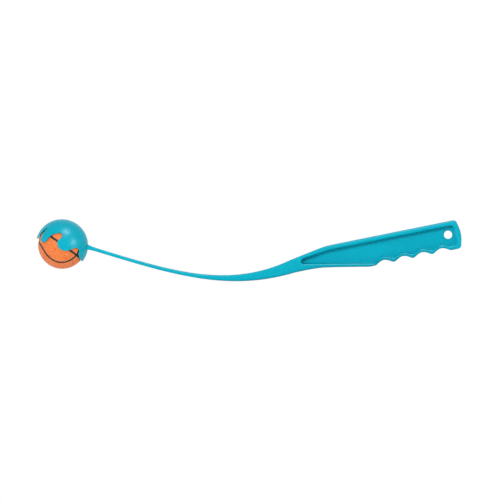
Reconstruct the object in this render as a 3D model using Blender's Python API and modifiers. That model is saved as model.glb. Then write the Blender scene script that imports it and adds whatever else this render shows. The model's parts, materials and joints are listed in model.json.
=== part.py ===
"""Ball thrower: a long moulded grip, shaft and fingered cup, with the ball it throws.

The moulding is drawn in the grip's own frame: x runs along the grip's straight back towards the butt, z stands
square to it, and the hang hole's centre is the origin. The whole is then turned to stand as it would on a table,
on the shaft's belly and the grip's front crest, with its box centred over the world's origin.
The moulding is divided where it bends: twice along the shaft, at the cup's neck and at each finger's root.
"""

import math

import bmesh
import bpy
from mathutils import Matrix, Vector

# Ball
BALL_DIAMETER = 0.0588
BALL_WALL = 0.0022
AIR_HOLE_DIAMETER = 0.0020
AIR_HOLE_TILT_DEG = 32.0     # from straight across, towards the direction below
AIR_HOLE_TURN_DEG = -93.7    # direction in the profile plane, from the grip's axis

# Cup
CUP_REACH = 0.4638           # hang hole to ball centre, along the grip
CUP_RISE = 0.0811            # hang hole to ball centre, square to the grip
MOUTH_DEG = -128.8           # direction in which the ball leaves, from the grip's axis
CUP_WALL = 0.0014
SEAT_SHIFT = 0.0009          # the cup's centre lies this far past the ball's, towards the mouth
BALL_CLEARANCE = 0.0003
CUT_GAP = 0.0003             # width of each division between two springy stretches

# Shaft
SHAFT_TIP_RUN = 0.0338       # ball centre to the cup end of the centre line, along the grip
SHAFT_TIP_FALL = 0.0112      # and square to it
SHAFT_BOW_X = 0.0917         # run and fall of the centre line's first handle, from the cup end
SHAFT_BOW_Z = 0.0495
SHAFT_ROOT_X = 0.1856        # grip end of the centre line, short of the hang hole
SHAFT_ROOT_Z = 0.00125
SHAFT_SWEEP_X = 0.0886       # run and fall of the second handle, from the grip end
SHAFT_SWEEP_Z = 0.0177
SHAFT_TIP_THICKNESS = 0.00425
SHAFT_ROOT_THICKNESS = 0.0177
SHAFT_TIP_DEPTH = 0.0150
SHAFT_EDGE_RADIUS = 0.0015
CUP_FLARE = 0.0020           # extra thickness where the shaft meets the cup
CUP_FLARE_RUN = 0.0040

# Grip
GRIP_DEPTH = 0.0260
GRIP_EDGE_RADIUS = 0.0032
BACK_HEIGHT = 0.0162         # hang hole to the straight back
SHOULDER_X = 0.1500          # where the back turns straight
SHOULDER_ROUND = 0.0008
CREST_DROP = 0.0193          # hang hole to the finger crests
FRONT_CREST_X = 0.0947
FRONT_CREST_WIDTH = 0.0062
NECK_DROP = 0.0080           # hang hole to the neck's underside
NECK_ROUND = 0.0016
GROOVE_PITCH = 0.02385
GROOVE_DEPTH = 0.0046
GROOVE_COUNT = 4
BUTT_X = 0.0157
BUTT_CROWN = 0.0020          # how far the butt bulges past its corners
BUTT_CORNER_RADIUS = 0.0050

# Recess on each side of the grip, and hang hole
WEB_THICKNESS = 0.0034
BACK_FLANGE = 0.0060
FRONT_FLANGE = 0.0029         # under the recess: at the front crest, at the other crests, at the grooves
CREST_FLANGE = 0.0052
GROOVE_FLANGE = 0.00435
BUTT_FLANGE = 0.0073
RECESS_NOSE_X = 0.1818
RECESS_NOSE_Z = 0.0030
RECESS_NOSE_RADIUS = 0.0031
RECESS_CORNER_RADIUS = 0.0040
HANG_HOLE_DIAMETER = 0.0100
CUT_OVERRUN = 0.0020         # how far a cutter runs past what it cuts

# Slopes and growth, as shares
BACK_SLOPE_SHARE = 0.185     # rise over run of the back ahead of the shoulder
UNDER_SLOPE_SHARE = 0.187    # fall over run of the underside ahead of the front crest
THICKENING_POWER = 3.28
WIDENING_POWER = 2.2
CREST_ROUND_SHARE = 0.17     # rounding of the crests between grooves, over the groove's own wave
FOOT_ROUND_SHARE = 0.35      # the same along the foot of the recess
KNUCKLE_SHARE = 1.25         # radius of a shaft division over half the thickness there
REAR_FLEX_SHARE = 0.55       # where the shaft bends, along its length from the cup
FRONT_FLEX_SHARE = 0.29
SHAFT_START_SHARE = -0.030   # the drawn shaft starts inside the cup's sphere
SHAFT_END_SHARE = 0.97
ROUNDEST_SHARE = 0.42        # an edge radius stops at this share of the section

# Half of the cup's rim, heel to centre finger: degrees round the mouth's axis, degrees past the widest circle
HEEL_RIM = [(0, 10.2), (9, 10.6), (18, 10.5), (27.5, 8.8), (36.0, 5.2), (41.8, -0.3), (45.0, -6.0)]
FRONT_BAY = [(49.4, -10.2), (55.1, -10.4)]
THUMB_RIM = [(61.5, -7.0), (66.0, -2.4), (71.0, 2.8), (77.5, 7.2), (85.7, 9.3), (94.2, 7.5), (99.8, 3.0),
             (102.2, -2.5), (101.6, -9.0), (99.3, -15.5), (100.4, -20.8)]
SIDE_BAY = [(103.6, -23.0), (108.0, -23.2), (113.2, -20.3)]
SIDE_RIM = [(119.7, -14.5), (124.4, -7.0), (127.4, 0.8), (129.3, 8.0), (133.7, 12.5), (140.2, 13.2),
            (145.9, 9.8), (148.4, 3.5), (149.0, -5.0), (147.8, -12.0), (146.9, -18.6)]
SLOT_END = [(148.9, -21.2)]
CENTRE_RIM = [(151.4, -18.6), (155.4, -11.6), (159.6, -5.0), (163.4, 2.5), (165.0, 8.3), (171.0, 11.4), (180, 11.8)]

# Steps
SHAFT_STEPS = 30
NECK_STEPS = 10
GROOVE_STEPS = 8
STEPS_PER_POINT = 2
ROOT_STEPS = 8

THROWER_COLOUR = (0.0, 0.42, 0.55, 1.0)
BALL_COLOUR = (0.84, 0.29, 0.09, 1.0)
UP = Vector((0, 0, 1))
ACROSS = Vector((0, -1, 0))


def finish(name, colour, roughness):
    material = bpy.data.materials.new(name)
    material.use_nodes = True
    shader = material.node_tree.nodes["Principled BSDF"]
    shader.inputs["Base Color"].default_value = colour
    shader.inputs["Roughness"].default_value = roughness
    material.diffuse_color = colour
    return material


def mesh_object(name, bm, collection):
    mesh = bpy.data.meshes.new(name)
    bm.to_mesh(mesh)
    bm.free()
    obj = bpy.data.objects.new(name, mesh)
    collection.objects.link(obj)
    return obj


def as_cutter(obj):
    obj.display_type = "WIRE"
    obj.hide_render = True
    return obj


def evaluated_mesh(obj, name):
    """A fresh mesh of the object as its modifiers leave it."""
    bpy.context.view_layer.update()
    mesh = bpy.data.meshes.new_from_object(obj.evaluated_get(bpy.context.evaluated_depsgraph_get()))
    mesh.name = name
    return mesh


def prism(name, outline, depth, middle, cutters):
    """A cutter: a flat outline, in x and z of the profile plane, run depth wide about y = middle."""
    curve = bpy.data.curves.new(name, "CURVE")
    curve.dimensions = "2D"
    curve.fill_mode = "BOTH"
    curve.extrude = depth / 2
    spline = curve.splines.new("POLY")
    spline.points.add(len(outline) - 1)
    for point, (x, z) in zip(spline.points, outline):
        point.co = (x, z, 0, 1)
    spline.use_cyclic_u = True
    flat = bpy.data.objects.new(name, curve)
    flat.matrix_world = Matrix.Translation((0, middle, 0)) @ Matrix.Rotation(math.radians(90), 4, "X")
    cutters.objects.link(flat)
    mesh = evaluated_mesh(flat, name)
    mesh.transform(flat.matrix_world)
    bpy.data.objects.remove(flat)
    bm = bmesh.new()
    bm.from_mesh(mesh)
    bmesh.ops.remove_doubles(bm, verts=bm.verts, dist=CUT_GAP / 10)
    bmesh.ops.recalc_face_normals(bm, faces=bm.faces)
    return as_cutter(mesh_object(name, bm, cutters))


def ball_cutter(name, centre, radius, rings, cutters):
    bm = bmesh.new()
    bmesh.ops.create_uvsphere(bm, u_segments=2 * rings, v_segments=rings, radius=radius)
    bmesh.ops.translate(bm, verts=bm.verts, vec=centre)
    return as_cutter(mesh_object(name, bm, cutters))


def boolean(obj, cutter, operation):
    modifier = obj.modifiers.new(cutter.name, "BOOLEAN")
    modifier.operation = operation
    modifier.object = cutter


def arc(centre_x, centre_z, radius, start_deg, end_deg, steps):
    """Points in x and z along an arc, both ends included."""
    turns = [math.radians(start_deg + (end_deg - start_deg) * i / steps) for i in range(steps + 1)]
    return [(centre_x + radius * math.cos(t), centre_z + radius * math.sin(t)) for t in turns]


def soft_min(a, b, rounding):
    """The lower of two heights, with their corner rounded."""
    return (a + b - math.sqrt((a - b) ** 2 + rounding ** 2)) / 2


# Shaft


def shaft_at(share):
    """Place on the shaft's centre line, and its direction, at a share of the way from cup to grip."""
    tip = Vector((-CUP_REACH + SHAFT_TIP_RUN, 0, CUP_RISE - SHAFT_TIP_FALL))
    root = Vector((-SHAFT_ROOT_X, 0, SHAFT_ROOT_Z))
    bow = tip + Vector((SHAFT_BOW_X, 0, -SHAFT_BOW_Z))
    sweep = root - Vector((SHAFT_SWEEP_X, 0, SHAFT_SWEEP_Z))
    rest = 1 - share
    place = tip * rest ** 3 + bow * 3 * rest ** 2 * share + sweep * 3 * rest * share ** 2 + root * share ** 3
    heading = (bow - tip) * rest ** 2 + (sweep - bow) * 2 * rest * share + (root - sweep) * share ** 2
    return place, heading.normalized()


def shaft_shares():
    """Shares of the shaft's length at which it is drawn."""
    length = SHAFT_END_SHARE - SHAFT_START_SHARE
    return [SHAFT_START_SHARE + length * i / SHAFT_STEPS for i in range(SHAFT_STEPS + 1)]


def square_to(heading):
    return Vector((-heading.z, 0, heading.x))


def shaft_thickness(share):
    grown = max(share, 0.0) ** THICKENING_POWER
    thickness = SHAFT_TIP_THICKNESS + (SHAFT_ROOT_THICKNESS - SHAFT_TIP_THICKNESS) * grown
    _, cup_centre, _, _ = cup_frame()
    past_cup = (shaft_at(share)[0] - cup_centre).length - outer_radius()
    return thickness + CUP_FLARE * math.exp(-max(past_cup, 0.0) / CUP_FLARE_RUN)


def shaft_depth(share):
    return SHAFT_TIP_DEPTH + (GRIP_DEPTH - SHAFT_TIP_DEPTH) * max(share, 0.0) ** WIDENING_POWER


# Grip


def back(x):
    """Height of the grip's upper edge."""
    slope = BACK_HEIGHT + BACK_SLOPE_SHARE * (x + SHOULDER_X)
    return soft_min(slope, BACK_HEIGHT, SHOULDER_ROUND)


def groove_wave(along, rounding):
    """How far into a groove the grip's edge is, from 0 at a crest to 1, with its crests rounded by a share."""
    wave = math.sin(math.pi * along / GROOVE_PITCH) ** 2
    return (math.sqrt(wave + rounding ** 2) - rounding) / (math.sqrt(1 + rounding ** 2) - rounding)


def underside(x):
    """Height of the grip's lower edge: neck, slope down to the front crest, then grooves between crests."""
    along = x + FRONT_CREST_X
    if 0 < along < GROOVE_PITCH * GROOVE_COUNT:
        return -CREST_DROP + GROOVE_DEPTH * groove_wave(along, CREST_ROUND_SHARE)
    slope = -CREST_DROP - UNDER_SLOPE_SHARE * min(along + FRONT_CREST_WIDTH, 0.0)
    if along > -FRONT_CREST_WIDTH:
        return -CREST_DROP
    return soft_min(slope, -NECK_DROP, NECK_ROUND)


def recess_foot(along):
    """Height of the recess's lower wall, at a distance past the front crest."""
    low = FRONT_FLANGE if along < GROOVE_PITCH / 2 else CREST_FLANGE
    rise = GROOVE_DEPTH + GROOVE_FLANGE - low
    return -CREST_DROP + low + rise * groove_wave(along, FOOT_ROUND_SHARE)


def grip_section(x):
    """Ring of the grip at x, rounding off over the butt's corners, its bulge and its two side edges."""
    top, bottom, depth = back(x), underside(x), GRIP_DEPTH
    corner_end = BUTT_X - BUTT_CROWN
    into_corner = min(max((x - corner_end) / BUTT_CORNER_RADIUS + 1, 0.0), 1.0)
    drop = BUTT_CORNER_RADIUS * (1 - math.sqrt(1 - into_corner ** 2))
    top, bottom = top - drop, bottom + drop
    if x > corner_end:
        shrink = math.sqrt(max(BUTT_X - x, 0.0) / BUTT_CROWN)
        middle, half = (top + bottom) / 2, (top - bottom) / 2
        top, bottom = middle + half * shrink, middle - half * shrink
    into_edge = min(max((x - BUTT_X) / GRIP_EDGE_RADIUS + 1, 0.0), 1.0)
    depth -= 2 * GRIP_EDGE_RADIUS * (1 - math.sqrt(1 - into_edge ** 2))
    return rounded_section(Vector((x, 0, (top + bottom) / 2)), UP, top - bottom, depth, GRIP_EDGE_RADIUS)


def rounded_section(centre, up, height, depth, radius):
    """A ring of points round a rounded rectangle that stands across the profile plane."""
    radius = min(radius, height * ROUNDEST_SHARE, depth * ROUNDEST_SHARE)
    ring = []
    for side, lift, start in ((1, 1, 0), (-1, 1, 90), (-1, -1, 180), (1, -1, 270)):
        for i in range(4):
            turn = math.radians(start + 30 * i)
            y = side * (depth / 2 - radius) + radius * math.cos(turn)
            z = lift * (height / 2 - radius) + radius * math.sin(turn)
            ring.append(centre + up * z - ACROSS * y)
    return ring


def butt_stations():
    """Places along x where the butt's corners and its bulge need a ring."""
    corner_end = BUTT_X - BUTT_CROWN
    corner = [corner_end - BUTT_CORNER_RADIUS * (1 - math.sin(math.radians(18 * i))) for i in range(6)]
    bulge = [BUTT_X - BUTT_CROWN * (1 - i / 5) ** 2 for i in range(1, 5)]
    return corner + bulge


def blank_rings():
    """Rings from inside the cup to the butt."""
    rings = []
    for share in shaft_shares():
        place, heading = shaft_at(share)
        radius = SHAFT_EDGE_RADIUS + (GRIP_EDGE_RADIUS - SHAFT_EDGE_RADIUS) * max(share, 0.0)
        rings.append(rounded_section(place, square_to(heading), shaft_thickness(share), shaft_depth(share), radius))
    start = -SHAFT_ROOT_X + GRIP_EDGE_RADIUS
    run = -FRONT_CREST_X - FRONT_CREST_WIDTH - start
    rings += [grip_section(start + run * i / NECK_STEPS) for i in range(NECK_STEPS + 1)]
    for i in range(GROOVE_COUNT * GROOVE_STEPS + 1):
        rings.append(grip_section(-FRONT_CREST_X + GROOVE_PITCH * i / GROOVE_STEPS))
    rings += [grip_section(x) for x in butt_stations()]
    return rings


def loft(rings):
    """A closed body through rings of equal count."""
    bm = bmesh.new()
    rows = [[bm.verts.new(point) for point in ring] for ring in rings]
    for near, far in zip(rows, rows[1:]):
        for i in range(len(near)):
            bm.faces.new((near[i - 1], near[i], far[i], far[i - 1]))
    bm.faces.new(rows[0])
    bm.faces.new(reversed(rows[-1]))
    bmesh.ops.recalc_face_normals(bm, faces=bm.faces)
    return bm


def recess_outline():
    """Outline of the recess: rounded nose, sloping then straight top, rounded butt end, wavy underside."""
    right = BUTT_X - BUTT_FLANGE
    top = BACK_HEIGHT - BACK_FLANGE
    corner = RECESS_CORNER_RADIUS
    low = -CREST_DROP + CREST_FLANGE
    points = arc(-RECESS_NOSE_X + RECESS_NOSE_RADIUS, RECESS_NOSE_Z, RECESS_NOSE_RADIUS, 255, 100, 6)
    points.append((-SHOULDER_X, top))
    points += arc(right - corner, top - corner, corner, 90, 0, 5)
    points += arc(right - corner, low + corner, corner, 0, -80, 5)
    steps = GROOVE_COUNT * GROOVE_STEPS
    for i in range(steps, -1, -1):
        along = GROOVE_PITCH * GROOVE_COUNT * i / steps
        points.append((along - FRONT_CREST_X, recess_foot(along)))
    return points


def grip_and_shaft(name, collection, cutters):
    """Grip and shaft in one piece, with a recess on each side and the hang hole."""
    blank = mesh_object(name, loft(blank_rings()), collection)
    recess_depth = (GRIP_DEPTH - WEB_THICKNESS) / 2 + CUT_OVERRUN
    middle = (WEB_THICKNESS + recess_depth) / 2
    boolean(blank, prism("left_recess", recess_outline(), recess_depth, middle, cutters), "DIFFERENCE")
    boolean(blank, prism("right_recess", recess_outline(), recess_depth, -middle, cutters), "DIFFERENCE")
    circle = arc(0, 0, HANG_HOLE_DIAMETER / 2, 0, 345, 23)
    boolean(blank, prism("hang_hole", circle, GRIP_DEPTH, 0, cutters), "DIFFERENCE")
    mesh = evaluated_mesh(blank, name)
    bpy.data.objects.remove(blank)
    return mesh


def cupward(name, share, growth, cutters):
    """A cutter over all that lies towards the cup of a bend, less a round knuckle about the bend itself."""
    place, heading = shaft_at(share)
    up = square_to(heading)
    radius = shaft_thickness(share) / 2 * KNUCKLE_SHARE + growth
    points = arc(0, 0, radius, 270, 90, 12)
    points += [(0, CUP_REACH / 2), (-CUP_REACH, CUP_REACH / 2), (-CUP_REACH, -CUP_REACH / 2), (0, -CUP_REACH / 2)]
    outline = []
    for x, z in points:
        spot = place + heading * x + up * z
        outline.append((spot.x, spot.z))
    return prism(name, outline, GRIP_DEPTH + CUT_OVERRUN, 0, cutters)


# Cup


def cup_frame():
    """Ball centre, cup centre, mouth axis, and the direction from the axis to the heel."""
    turn = math.radians(MOUTH_DEG)
    mouth = Vector((math.cos(turn), 0, math.sin(turn)))
    ball = Vector((-CUP_REACH, 0, CUP_RISE))
    return ball, ball + mouth * SEAT_SHIFT, mouth, Vector((-mouth.z, 0, mouth.x))


def inner_radius():
    return BALL_DIAMETER / 2 + BALL_CLEARANCE + SEAT_SHIFT


def outer_radius():
    return inner_radius() + CUP_WALL


def out_from_cup(spot):
    """Direction out of the cup's centre, for degrees round the mouth's axis and degrees past the widest circle."""
    around, past = math.radians(spot[0]), math.radians(spot[1])
    _, _, mouth, heel = cup_frame()
    return (heel * math.cos(around) + ACROSS * math.sin(around)) * math.cos(past) + mouth * math.sin(past)


def rim_points():
    return HEEL_RIM + FRONT_BAY + THUMB_RIM + SIDE_BAY + SIDE_RIM + SLOT_END + CENTRE_RIM


def rim_row():
    """The half rim as a smooth row through its points."""
    points = rim_points()
    row = []
    for i in range(len(points) - 1):
        p, q, r, s = (points[min(max(i + k, 0), len(points) - 1)] for k in (-1, 0, 1, 2))
        for k in range(STEPS_PER_POINT):
            t = k / STEPS_PER_POINT
            row.append(tuple((2 * b + (c - a) * t + (2 * a - 5 * b + 4 * c - d) * t ** 2
                              + (3 * b - a - 3 * c + d) * t ** 3) / 2 for a, b, c, d in zip(p, q, r, s)))
    return row + [points[-1]]


def span(first, last):
    """Where two of the rim's points lie in its row."""
    points = rim_points()
    return points.index(first) * STEPS_PER_POINT, points.index(last) * STEPS_PER_POINT


def root_row(start, end, steps, lift=0.0):
    """A finger's root: a straight cut through the cup's centre from one direction to another, lifted to the tip."""
    square = start.cross(end).normalized()
    square *= 1 if square.dot(cup_frame()[2]) > 0 else -1
    return [(start.lerp(end, i / steps).normalized() + square * lift).normalized() for i in range(steps + 1)]


def other_side(row):
    return [Vector((d.x, -d.y, d.z)) for d in reversed(row)]


def crown_edge():
    """Directions round the crown's edge: the heel's rim and the bays, with a straight root at each finger."""
    row = [out_from_cup(spot) for spot in rim_row()]
    thumb = span(THUMB_RIM[0], THUMB_RIM[-1])
    side = span(SIDE_RIM[0], SIDE_RIM[-1])
    centre = span(CENTRE_RIM[0], CENTRE_RIM[-1])[0]
    half = row[:thumb[0]] + root_row(row[thumb[0]], row[thumb[1]], ROOT_STEPS)
    half += row[thumb[1] + 1:side[0]] + root_row(row[side[0]], row[side[1]], ROOT_STEPS - 2)
    half += row[side[1] + 1:centre]
    middle = root_row(row[centre], other_side([row[centre]])[0], ROOT_STEPS)
    return half + middle + other_side(half)[:-1]


def patch(name, rows, closed, collection):
    """A piece of the cup's wall: its inner face through rows of directions, then thickened outwards."""
    _, centre, _, _ = cup_frame()
    bm = bmesh.new()
    grid = [[bm.verts.new(centre + d * inner_radius()) for d in row] for row in rows]
    for near, far in zip(grid, grid[1:]):
        for i in range(0 if closed else 1, len(near)):
            bm.faces.new((near[i - 1], near[i], far[i], far[i - 1]))
    bmesh.ops.remove_doubles(bm, verts=bm.verts, dist=CUT_GAP / 10)
    bm.normal_update()
    if sum(face.normal.dot(face.calc_center_median() - centre) for face in bm.faces) < 0:
        bmesh.ops.reverse_faces(bm, faces=bm.faces)
    obj = mesh_object(name, bm, collection)
    wall = obj.modifiers.new("wall", "SOLIDIFY")
    wall.thickness = CUP_WALL
    wall.offset = 1.0
    return obj


def between(low, high, steps):
    """Rows from one row of directions to another, both included."""
    return [[a.lerp(b, k / steps).normalized() for a, b in zip(low, high)] for k in range(steps + 1)]


def crown(collection):
    """The cup's closed end and its heel, from the pole opposite the mouth to the crown's edge."""
    edge = crown_edge()
    _, _, mouth, _ = cup_frame()
    pole_rows = []
    for past in (-78, -64, -50):
        ring = []
        for d in edge:
            flat = (d - mouth * d.dot(mouth)).normalized()
            ring.append(flat * math.cos(math.radians(past)) + mouth * math.sin(math.radians(past)))
        pole_rows.append(ring)
    rows = [[-mouth] * len(edge)] + pole_rows[:-1] + between(pole_rows[-1], edge, 6)
    return patch("cup_crown", rows, True, collection)


def finger(name, first, last, mirror, collection):
    """A springy finger from its root to its rim, and the hinge at the root: middle and axis."""
    row = [out_from_cup(spot) for spot in rim_row()]
    start, end = span(first, last)
    rim = row[start:end + 1]
    if last == CENTRE_RIM[-1]:
        rim = rim + other_side(rim)[1:]
    if mirror:
        rim = other_side(rim)
    root = root_row(rim[0], rim[-1], len(rim) - 1, CUT_GAP / inner_radius())
    rim = [root[0]] + rim[1:-1] + [root[-1]]
    obj = patch(name, between(root, rim, 5), False, collection)
    _, centre, mouth, _ = cup_frame()
    middle = centre + root[len(root) // 2] * (inner_radius() + CUP_WALL / 2)
    axis = (root[-1] - root[0]).normalized()
    tip_moves = axis.cross(mouth)
    if tip_moves.dot(root[len(root) // 2]) < 0:
        axis = -axis
    return obj, middle, axis


def ball(collection, cutters):
    """Hollow ball with an air hole through its wall."""
    centre, _, _, _ = cup_frame()
    bm = bmesh.new()
    bmesh.ops.create_uvsphere(bm, u_segments=40, v_segments=20, radius=BALL_DIAMETER / 2)
    bmesh.ops.translate(bm, verts=bm.verts, vec=centre)
    obj = mesh_object("ball", bm, collection)
    boolean(obj, ball_cutter("ball_hollow", centre, BALL_DIAMETER / 2 - BALL_WALL, 12, cutters), "DIFFERENCE")
    tilt, turn = math.radians(AIR_HOLE_TILT_DEG), math.radians(AIR_HOLE_TURN_DEG)
    out = ACROSS * math.cos(tilt) + Vector((math.cos(turn), 0, math.sin(turn))) * math.sin(tilt)
    bm = bmesh.new()
    length = BALL_WALL + 2 * CUT_OVERRUN
    radius = AIR_HOLE_DIAMETER / 2
    bmesh.ops.create_cone(bm, cap_ends=True, segments=10, radius1=radius, radius2=radius, depth=length)
    place = Matrix.Translation(centre + out * (BALL_DIAMETER - BALL_WALL) / 2)
    bmesh.ops.transform(bm, verts=bm.verts, matrix=place @ UP.rotation_difference(out).to_matrix().to_4x4())
    boolean(obj, as_cutter(mesh_object("air_hole", bm, cutters)), "DIFFERENCE")
    return obj


# Assembly


def pivot(name, place, parent, parent_place, collection):
    """An empty on a joint's axis, carried by the joint before it."""
    empty = bpy.data.objects.new(name, None)
    empty.empty_display_size = SHAFT_TIP_DEPTH
    collection.objects.link(empty)
    empty.parent = parent
    empty.location = place - parent_place
    return empty


def seat(obj, name, material, parent, parent_place, collection):
    """Freeze an object's mesh, shade it, and carry it from its joint."""
    mesh = evaluated_mesh(obj, name)
    mesh.transform(Matrix.Translation(-parent_place))
    mesh.materials.clear()
    mesh.materials.append(material)
    mesh.shade_smooth()
    mesh.set_sharp_from_angle(angle=math.radians(35))
    bpy.data.objects.remove(obj)
    piece = bpy.data.objects.new(name, mesh)
    collection.objects.link(piece)
    piece.parent = parent
    return piece


def resting_tilt():
    """Turn, about the grip's y, that lays the shaft's belly and the grip's front crest on one level."""
    crest_x = -FRONT_CREST_X - FRONT_CREST_WIDTH
    slopes = []
    for share in shaft_shares():
        place, heading = shaft_at(share)
        low = place - square_to(heading) * shaft_thickness(share) / 2
        slopes.append((-CREST_DROP - low.z) / (crest_x - low.x))
    return math.atan(max(slopes))


def world_box(pieces):
    corners = [piece.matrix_world @ vertex.co for piece in pieces for vertex in piece.data.vertices]
    low = [min(corner[k] for corner in corners) for k in range(3)]
    high = [max(corner[k] for corner in corners) for k in range(3)]
    return low, high


def main():
    for obj in list(bpy.data.objects):
        bpy.data.objects.remove(obj)
    parts = bpy.data.collections.new("ball_thrower")
    cutters = bpy.data.collections.new("cutters")
    bpy.context.scene.collection.children.link(parts)
    bpy.context.scene.collection.children.link(cutters)
    plastic = finish("moulded_polypropylene", THROWER_COLOUR, 0.35)
    rubber = finish("soft_ball_rubber", BALL_COLOUR, 0.6)
    origin = Vector((0, 0, 0))
    stand = pivot("stand", origin, None, origin, parts)
    stand.rotation_euler = (0, resting_tilt(), 0)
    pieces = []

    blank = grip_and_shaft("blank", parts, cutters)

    def stretch(name, parent, place, cuts):
        obj = bpy.data.objects.new(name, blank.copy())
        parts.objects.link(obj)
        for cutter, operation in cuts:
            boolean(obj, cutter, operation)
        pieces.append(seat(obj, name, plastic, parent, place, parts))

    rear_place, front_place = shaft_at(REAR_FLEX_SHARE)[0], shaft_at(FRONT_FLEX_SHARE)[0]
    _, cup_centre, mouth, _ = cup_frame()
    neck_place = shaft_at(0)[0]
    neck_place = cup_centre + (neck_place - cup_centre).normalized() * (outer_radius() + CUT_GAP / 2)
    rear_flex = pivot("shaft_flex_rear", rear_place, stand, origin, parts)
    front_flex = pivot("shaft_flex_front", front_place, rear_flex, rear_place, parts)
    cup_flex = pivot("cup_flex", neck_place, front_flex, front_place, parts)

    rear_cut = cupward("rear_division", REAR_FLEX_SHARE, 0.0, cutters)
    rear_mate = cupward("rear_division_mate", REAR_FLEX_SHARE, CUT_GAP, cutters)
    front_cut = cupward("front_division", FRONT_FLEX_SHARE, 0.0, cutters)
    front_mate = cupward("front_division_mate", FRONT_FLEX_SHARE, CUT_GAP, cutters)
    cup_space = ball_cutter("cup_space", cup_centre, outer_radius() + CUT_GAP, 32, cutters)
    stretch("handle", stand, origin, [(rear_cut, "DIFFERENCE")])
    stretch("shaft_rear", rear_flex, rear_place, [(rear_mate, "INTERSECT"), (front_cut, "DIFFERENCE")])
    stretch("shaft_front", front_flex, front_place, [(front_mate, "INTERSECT"), (cup_space, "DIFFERENCE")])

    pieces.append(seat(crown(parts), "cup_crown", plastic, cup_flex, neck_place, parts))
    fingers = (
        ("thumb_right", THUMB_RIM[0], THUMB_RIM[-1], False),
        ("thumb_left", THUMB_RIM[0], THUMB_RIM[-1], True),
        ("side_finger_right", SIDE_RIM[0], SIDE_RIM[-1], False),
        ("side_finger_left", SIDE_RIM[0], SIDE_RIM[-1], True),
        ("centre_finger", CENTRE_RIM[0], CENTRE_RIM[-1], False),
    )
    for name, first, last, mirror in fingers:
        obj, middle, axis = finger(name, first, last, mirror, parts)
        root = pivot(name + "_spring", middle, cup_flex, neck_place, parts)
        root["axis"] = axis
        pieces.append(seat(obj, name, plastic, root, middle, parts))

    ball_place = cup_frame()[0]
    release = pivot("ball_release", ball_place, cup_flex, neck_place, parts)
    release["axis"] = mouth
    pieces.append(seat(ball(parts, cutters), "ball", rubber, release, ball_place, parts))
    bpy.data.meshes.remove(blank)

    bpy.context.view_layer.update()
    low, high = world_box(pieces)
    stand.location = (-(low[0] + high[0]) / 2, -(low[1] + high[1]) / 2, -low[2])


main()
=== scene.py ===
"""Dresses the ball thrower: a seamless teal moulding with a recessed grip, a bowed shaft and a fingered
cup, and the orange rubber ball it holds, on a pale studio floor.

The moulding is drawn in the grip's own frame, as the part is: x runs along the grip's straight back
towards the butt, z stands square to it, and the hang hole's centre is the origin.
"""

import json
import math

import bmesh
import bpy
from bpy.props import FloatProperty, FloatVectorProperty, PointerProperty
from mathutils import Matrix, Vector

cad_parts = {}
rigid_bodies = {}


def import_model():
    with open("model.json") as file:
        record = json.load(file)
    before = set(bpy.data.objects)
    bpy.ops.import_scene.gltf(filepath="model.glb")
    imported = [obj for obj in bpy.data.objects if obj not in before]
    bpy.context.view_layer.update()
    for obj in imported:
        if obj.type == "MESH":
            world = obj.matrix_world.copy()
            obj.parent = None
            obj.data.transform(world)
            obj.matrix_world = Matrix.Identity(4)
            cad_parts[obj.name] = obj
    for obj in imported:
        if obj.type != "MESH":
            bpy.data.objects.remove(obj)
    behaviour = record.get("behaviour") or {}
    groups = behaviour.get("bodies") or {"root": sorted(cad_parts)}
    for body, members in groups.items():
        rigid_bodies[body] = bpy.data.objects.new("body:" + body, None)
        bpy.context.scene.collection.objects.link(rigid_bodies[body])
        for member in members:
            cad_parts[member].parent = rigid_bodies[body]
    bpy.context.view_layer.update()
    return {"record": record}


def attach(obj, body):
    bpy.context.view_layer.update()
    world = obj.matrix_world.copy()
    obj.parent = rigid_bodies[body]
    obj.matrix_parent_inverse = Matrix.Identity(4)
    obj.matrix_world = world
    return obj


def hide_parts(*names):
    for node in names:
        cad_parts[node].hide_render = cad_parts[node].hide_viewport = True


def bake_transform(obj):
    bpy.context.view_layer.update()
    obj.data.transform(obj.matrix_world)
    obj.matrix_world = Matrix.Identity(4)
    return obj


for leftover in list(bpy.data.objects):
    bpy.data.objects.remove(leftover)
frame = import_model()

bl_info = {
    "name": "Ball thrower",
    "version": (1, 0, 0),
    "blender": (4, 5, 0),
    "location": "View3D > Sidebar > Ball thrower",
    "description": "Builds a moulded ball thrower with its ball, and the studio around it",
    "category": "Object",
}

MM = 0.001

# Where the hang hole is, and how the grip leans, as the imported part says
hole_box = frame["record"]["physics"]["openings"][0]["box_m"]
back_face = [mount for mount in frame["record"]["mounts"] if mount["name"] == "grip_back"][0]
HANG_HOLE = (Vector(hole_box[0]) + Vector(hole_box[1])) / 2
BACK_WAY = Vector(back_face["axis"]).normalized()
ALONG = Vector((BACK_WAY.z, 0, -BACK_WAY.x))
ACROSS = Vector((0, -1, 0))
GRIP_FRAME = Matrix.Translation(HANG_HOLE) @ Matrix((ALONG, -ACROSS, BACK_WAY)).transposed().to_4x4()

# Photograph: the grip's slope in it, the width it takes in, and the grip-frame point at its middle
PHOTO_SLOPE_DEG = 11.4
PHOTO_WIDTH = 610.0 * MM
PHOTO_MIDDLE = Vector((-240.5, 0, 29.5)) * MM

# Cup and ball
BALL_CENTRE = Vector((-463.8, 0, 81.1)) * MM
MOUTH_DEG = -128.8
SEAT_SHIFT = 0.9 * MM
CUP_INSIDE = 30.6 * MM
MOUTH = Vector((math.cos(math.radians(MOUTH_DEG)), 0, math.sin(math.radians(MOUTH_DEG))))
HEEL = Vector((-MOUTH.z, 0, MOUTH.x))
CUP_CENTRE = BALL_CENTRE + MOUTH * SEAT_SHIFT

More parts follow.
